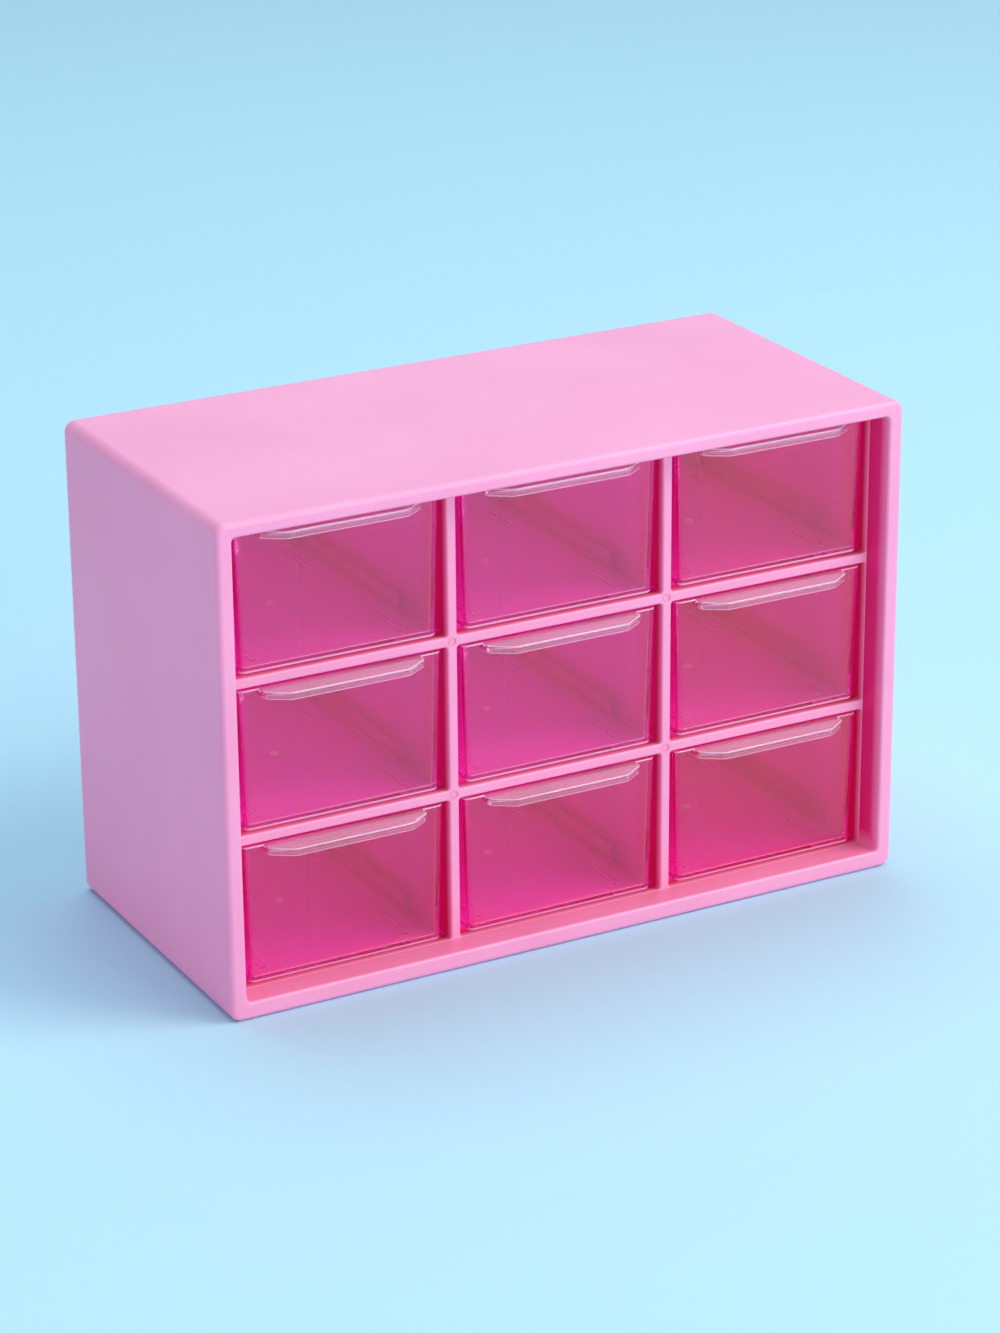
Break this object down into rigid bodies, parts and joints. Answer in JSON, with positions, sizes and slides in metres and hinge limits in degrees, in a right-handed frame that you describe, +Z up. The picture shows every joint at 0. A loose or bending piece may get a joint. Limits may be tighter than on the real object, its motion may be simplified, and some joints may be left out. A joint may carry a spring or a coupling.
{
  "type": "drawer storage organizer",
  "caption": "Small desktop cabinet: pink moulded case with a raised front rim, a divider grid behind it and clear pull-out drawers for beads, clips and craft parts.",
  "frame": {"origin": "middle of the flat base, on the surface the cabinet stands on", "axes": "+X to the right seen from the front, +Y from the front to the back, +Z up"},
  "size_m": [0.18, 0.0854, 0.121],
  "materials": {
    "case_pink": "satin moulded polystyrene",
    "grid_pink": "satin moulded polystyrene",
    "panel_pink": "fine matt moulded polystyrene",
    "drawer_clear": "polished clear polystyrene"
  },
  "bodies": {
    "cabinet": {"case_shell": "case_pink", "divider_grid": "grid_pink", "back_panel": "panel_pink"},
    "drawer_top_left": {"drawer_top_left": "drawer_clear"},
    "drawer_top_centre": {"drawer_top_centre": "drawer_clear"},
    "drawer_top_right": {"drawer_top_right": "drawer_clear"},
    "drawer_middle_left": {"drawer_middle_left": "drawer_clear"},
    "drawer_middle_centre": {"drawer_middle_centre": "drawer_clear"},
    "drawer_middle_right": {"drawer_middle_right": "drawer_clear"},
    "drawer_bottom_left": {"drawer_bottom_left": "drawer_clear"},
    "drawer_bottom_centre": {"drawer_bottom_centre": "drawer_clear"},
    "drawer_bottom_right": {"drawer_bottom_right": "drawer_clear"}
  },
  "joints": [
    {"name": "slide_top_left", "type": "slide", "parent": "cabinet", "child": "drawer_top_left", "axis": [0, -1, 0], "range_m": [0, 0.06]},
    {"name": "slide_top_centre", "type": "slide", "parent": "cabinet", "child": "drawer_top_centre", "axis": [0, -1, 0], "range_m": [0, 0.06]},
    {"name": "slide_top_right", "type": "slide", "parent": "cabinet", "child": "drawer_top_right", "axis": [0, -1, 0], "range_m": [0, 0.06]},
    {"name": "slide_middle_left", "type": "slide", "parent": "cabinet", "child": "drawer_middle_left", "axis": [0, -1, 0], "range_m": [0, 0.06]},
    {"name": "slide_middle_centre", "type": "slide", "parent": "cabinet", "child": "drawer_middle_centre", "axis": [0, -1, 0], "range_m": [0, 0.06]},
    {"name": "slide_middle_right", "type": "slide", "parent": "cabinet", "child": "drawer_middle_right", "axis": [0, -1, 0], "range_m": [0, 0.06]},
    {"name": "slide_bottom_left", "type": "slide", "parent": "cabinet", "child": "drawer_bottom_left", "axis": [0, -1, 0], "range_m": [0, 0.06]},
    {"name": "slide_bottom_centre", "type": "slide", "parent": "cabinet", "child": "drawer_bottom_centre", "axis": [0, -1, 0], "range_m": [0, 0.06]},
    {"name": "slide_bottom_right", "type": "slide", "parent": "cabinet", "child": "drawer_bottom_right", "axis": [0, -1, 0], "range_m": [0, 0.06]}
  ]
}
